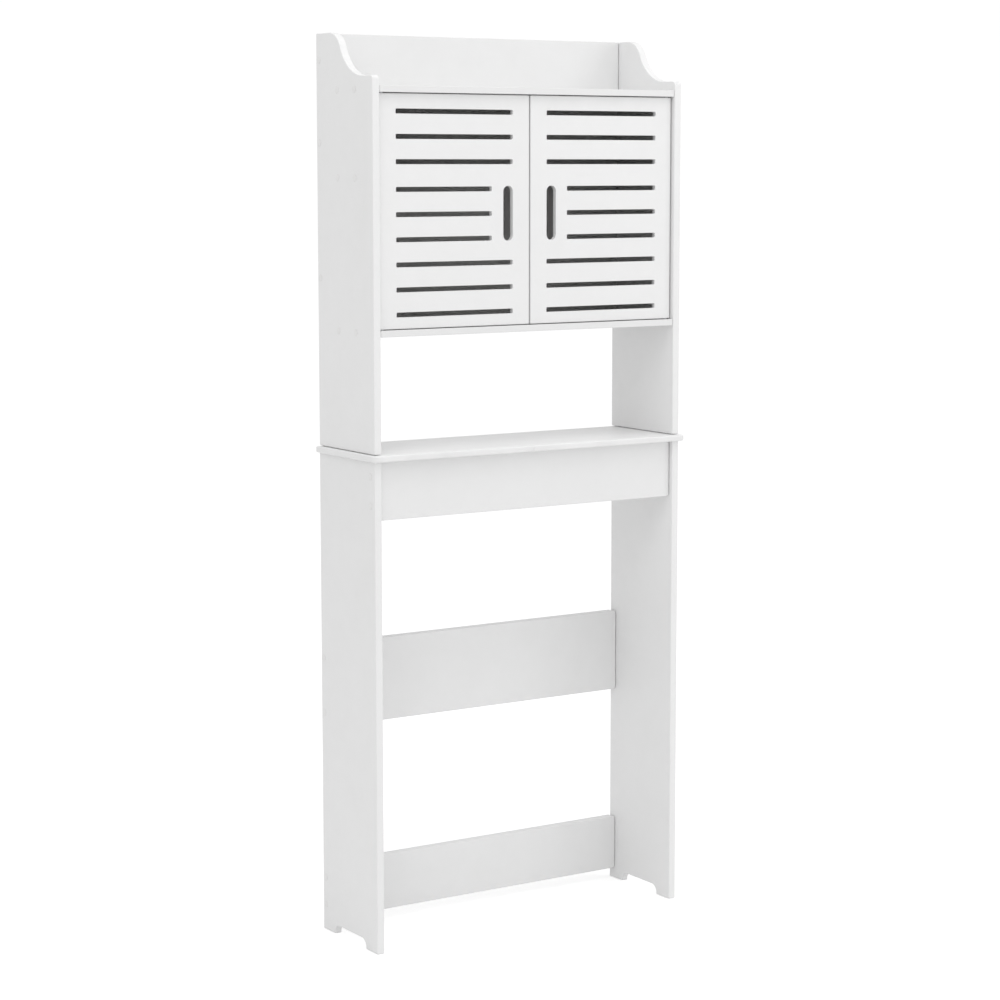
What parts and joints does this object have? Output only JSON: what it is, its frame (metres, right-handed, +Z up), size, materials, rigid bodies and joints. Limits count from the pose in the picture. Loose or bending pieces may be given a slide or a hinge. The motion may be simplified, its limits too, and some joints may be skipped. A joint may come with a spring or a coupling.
{
  "type": "over the toilet storage rack",
  "caption": "Free-standing white storage rack that straddles a toilet: side panels, back rails, counter shelf, open bay, slotted two-door cabinet and railed top tray.",
  "frame": {"origin": "middle of the box round the whole rack, at floor level", "axes": "+Z up, -Y out of the rack's front (the doors), +Y to the wall, +X to the right seen from the front"},
  "size_m": [0.707, 0.219, 1.705],
  "materials": {
    "white_lacquered_board": "satin white lacquer on fibreboard, edges lightly rounded",
    "zinc_plated_steel": "bright zinc plate",
    "white_plastic": "fine matt moulded plastic",
    "beech_dowel": "fluted raw beech",
    "ferrite_magnet": "dull sintered ferrite"
  },
  "bodies": {
    "rack": {"lower_left_side_panel": "white_lacquered_board", "lower_right_side_panel": "white_lacquered_board", "bottom_back_rail": "white_lacquered_board", "middle_back_rail": "white_lacquered_board", "front_apron": "white_lacquered_board", "counter_shelf": "white_lacquered_board", "upper_left_side_panel": "white_lacquered_board", "upper_right_side_panel": "white_lacquered_board", "cabinet_floor_board": "white_lacquered_board", "cabinet_inner_shelf": "white_lacquered_board", "cabinet_top_board": "white_lacquered_board", "cabinet_back_board": "white_lacquered_board", "top_back_rail": "white_lacquered_board", "lower_side_screws": "zinc_plated_steel", "upper_side_screws": "zinc_plated_steel", "shelf_screws": "zinc_plated_steel", "corner_brackets": "zinc_plated_steel", "bracket_screws": "zinc_plated_steel", "catch_screws": "zinc_plated_steel", "pivot_bushes": "white_plastic", "screw_cover_caps": "white_plastic", "catch_housings": "white_plastic", "wooden_dowels": "beech_dowel", "catch_magnets": "ferrite_magnet"},
    "left_door": {"left_door": "white_lacquered_board", "left_pivot_pins": "zinc_plated_steel", "left_strike_plate": "zinc_plated_steel", "left_strike_screw": "zinc_plated_steel"},
    "right_door": {"right_door": "white_lacquered_board", "right_pivot_pins": "zinc_plated_steel", "right_strike_plate": "zinc_plated_steel", "right_strike_screw": "zinc_plated_steel"}
  },
  "joints": [
    {"name": "left_door_hinge", "type": "hinge", "parent": "rack", "child": "left_door", "pos_m": [-0.3195, -0.0835, 1.379], "axis": [0, 0, -1], "range_deg": [0, 105]},
    {"name": "right_door_hinge", "type": "hinge", "parent": "rack", "child": "right_door", "pos_m": [0.3195, -0.0835, 1.379], "axis": [0, 0, 1], "range_deg": [0, 105]}
  ]
}
